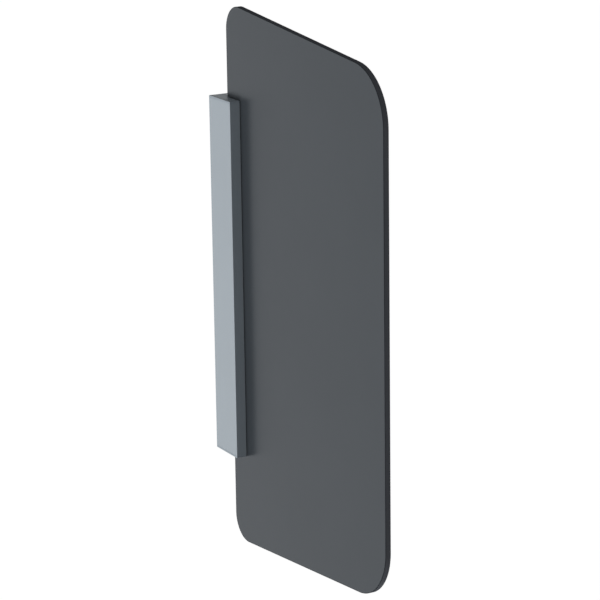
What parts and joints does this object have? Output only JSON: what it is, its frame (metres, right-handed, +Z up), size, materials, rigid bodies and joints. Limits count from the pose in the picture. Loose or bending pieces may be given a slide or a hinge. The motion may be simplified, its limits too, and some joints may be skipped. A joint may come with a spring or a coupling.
{
  "type": "urinal privacy screen",
  "caption": "Dark grey glass privacy screen with tapered edges and rounded corners, clamped at one edge in a slim satin aluminium wall bracket with clip-on covers.",
  "frame": {"origin": "on the wall plane, at the middle of the wall rail's back face and at mid-height of bracket and glass", "axes": "+Y into the wall, so the screen stands out along -Y; +Z up; X across the thickness of the glass, -X being the side that the picture shows"},
  "size_m": [0.04, 0.447, 0.7732],
  "materials": {
    "dark_glass": "dark grey toughened glass, opaque satin face, ground and polished edge",
    "satin_aluminium": "satin silver anodised",
    "mill_aluminium": "mill finish extrusion",
    "stainless_steel": "plain stainless steel",
    "black_rubber": "matt black EPDM",
    "white_nylon": "moulded natural nylon"
  },
  "bodies": {
    "root": {"glass_panel": "dark_glass", "wall_rail": "mill_aluminium", "clamp_bar": "mill_aluminium", "left_gasket": "black_rubber", "right_gasket": "black_rubber", "glass_bushes": "white_nylon", "setting_blocks": "white_nylon", "clamp_bolts": "stainless_steel", "clamp_washers": "stainless_steel", "clamp_nuts": "stainless_steel", "left_cover": "satin_aluminium", "right_cover": "satin_aluminium", "left_wiper_seal": "black_rubber", "right_wiper_seal": "black_rubber", "left_top_cap": "satin_aluminium", "right_top_cap": "satin_aluminium", "left_bottom_cap": "satin_aluminium", "right_bottom_cap": "satin_aluminium", "cap_screws": "stainless_steel"}
  },
  "joints": []
}
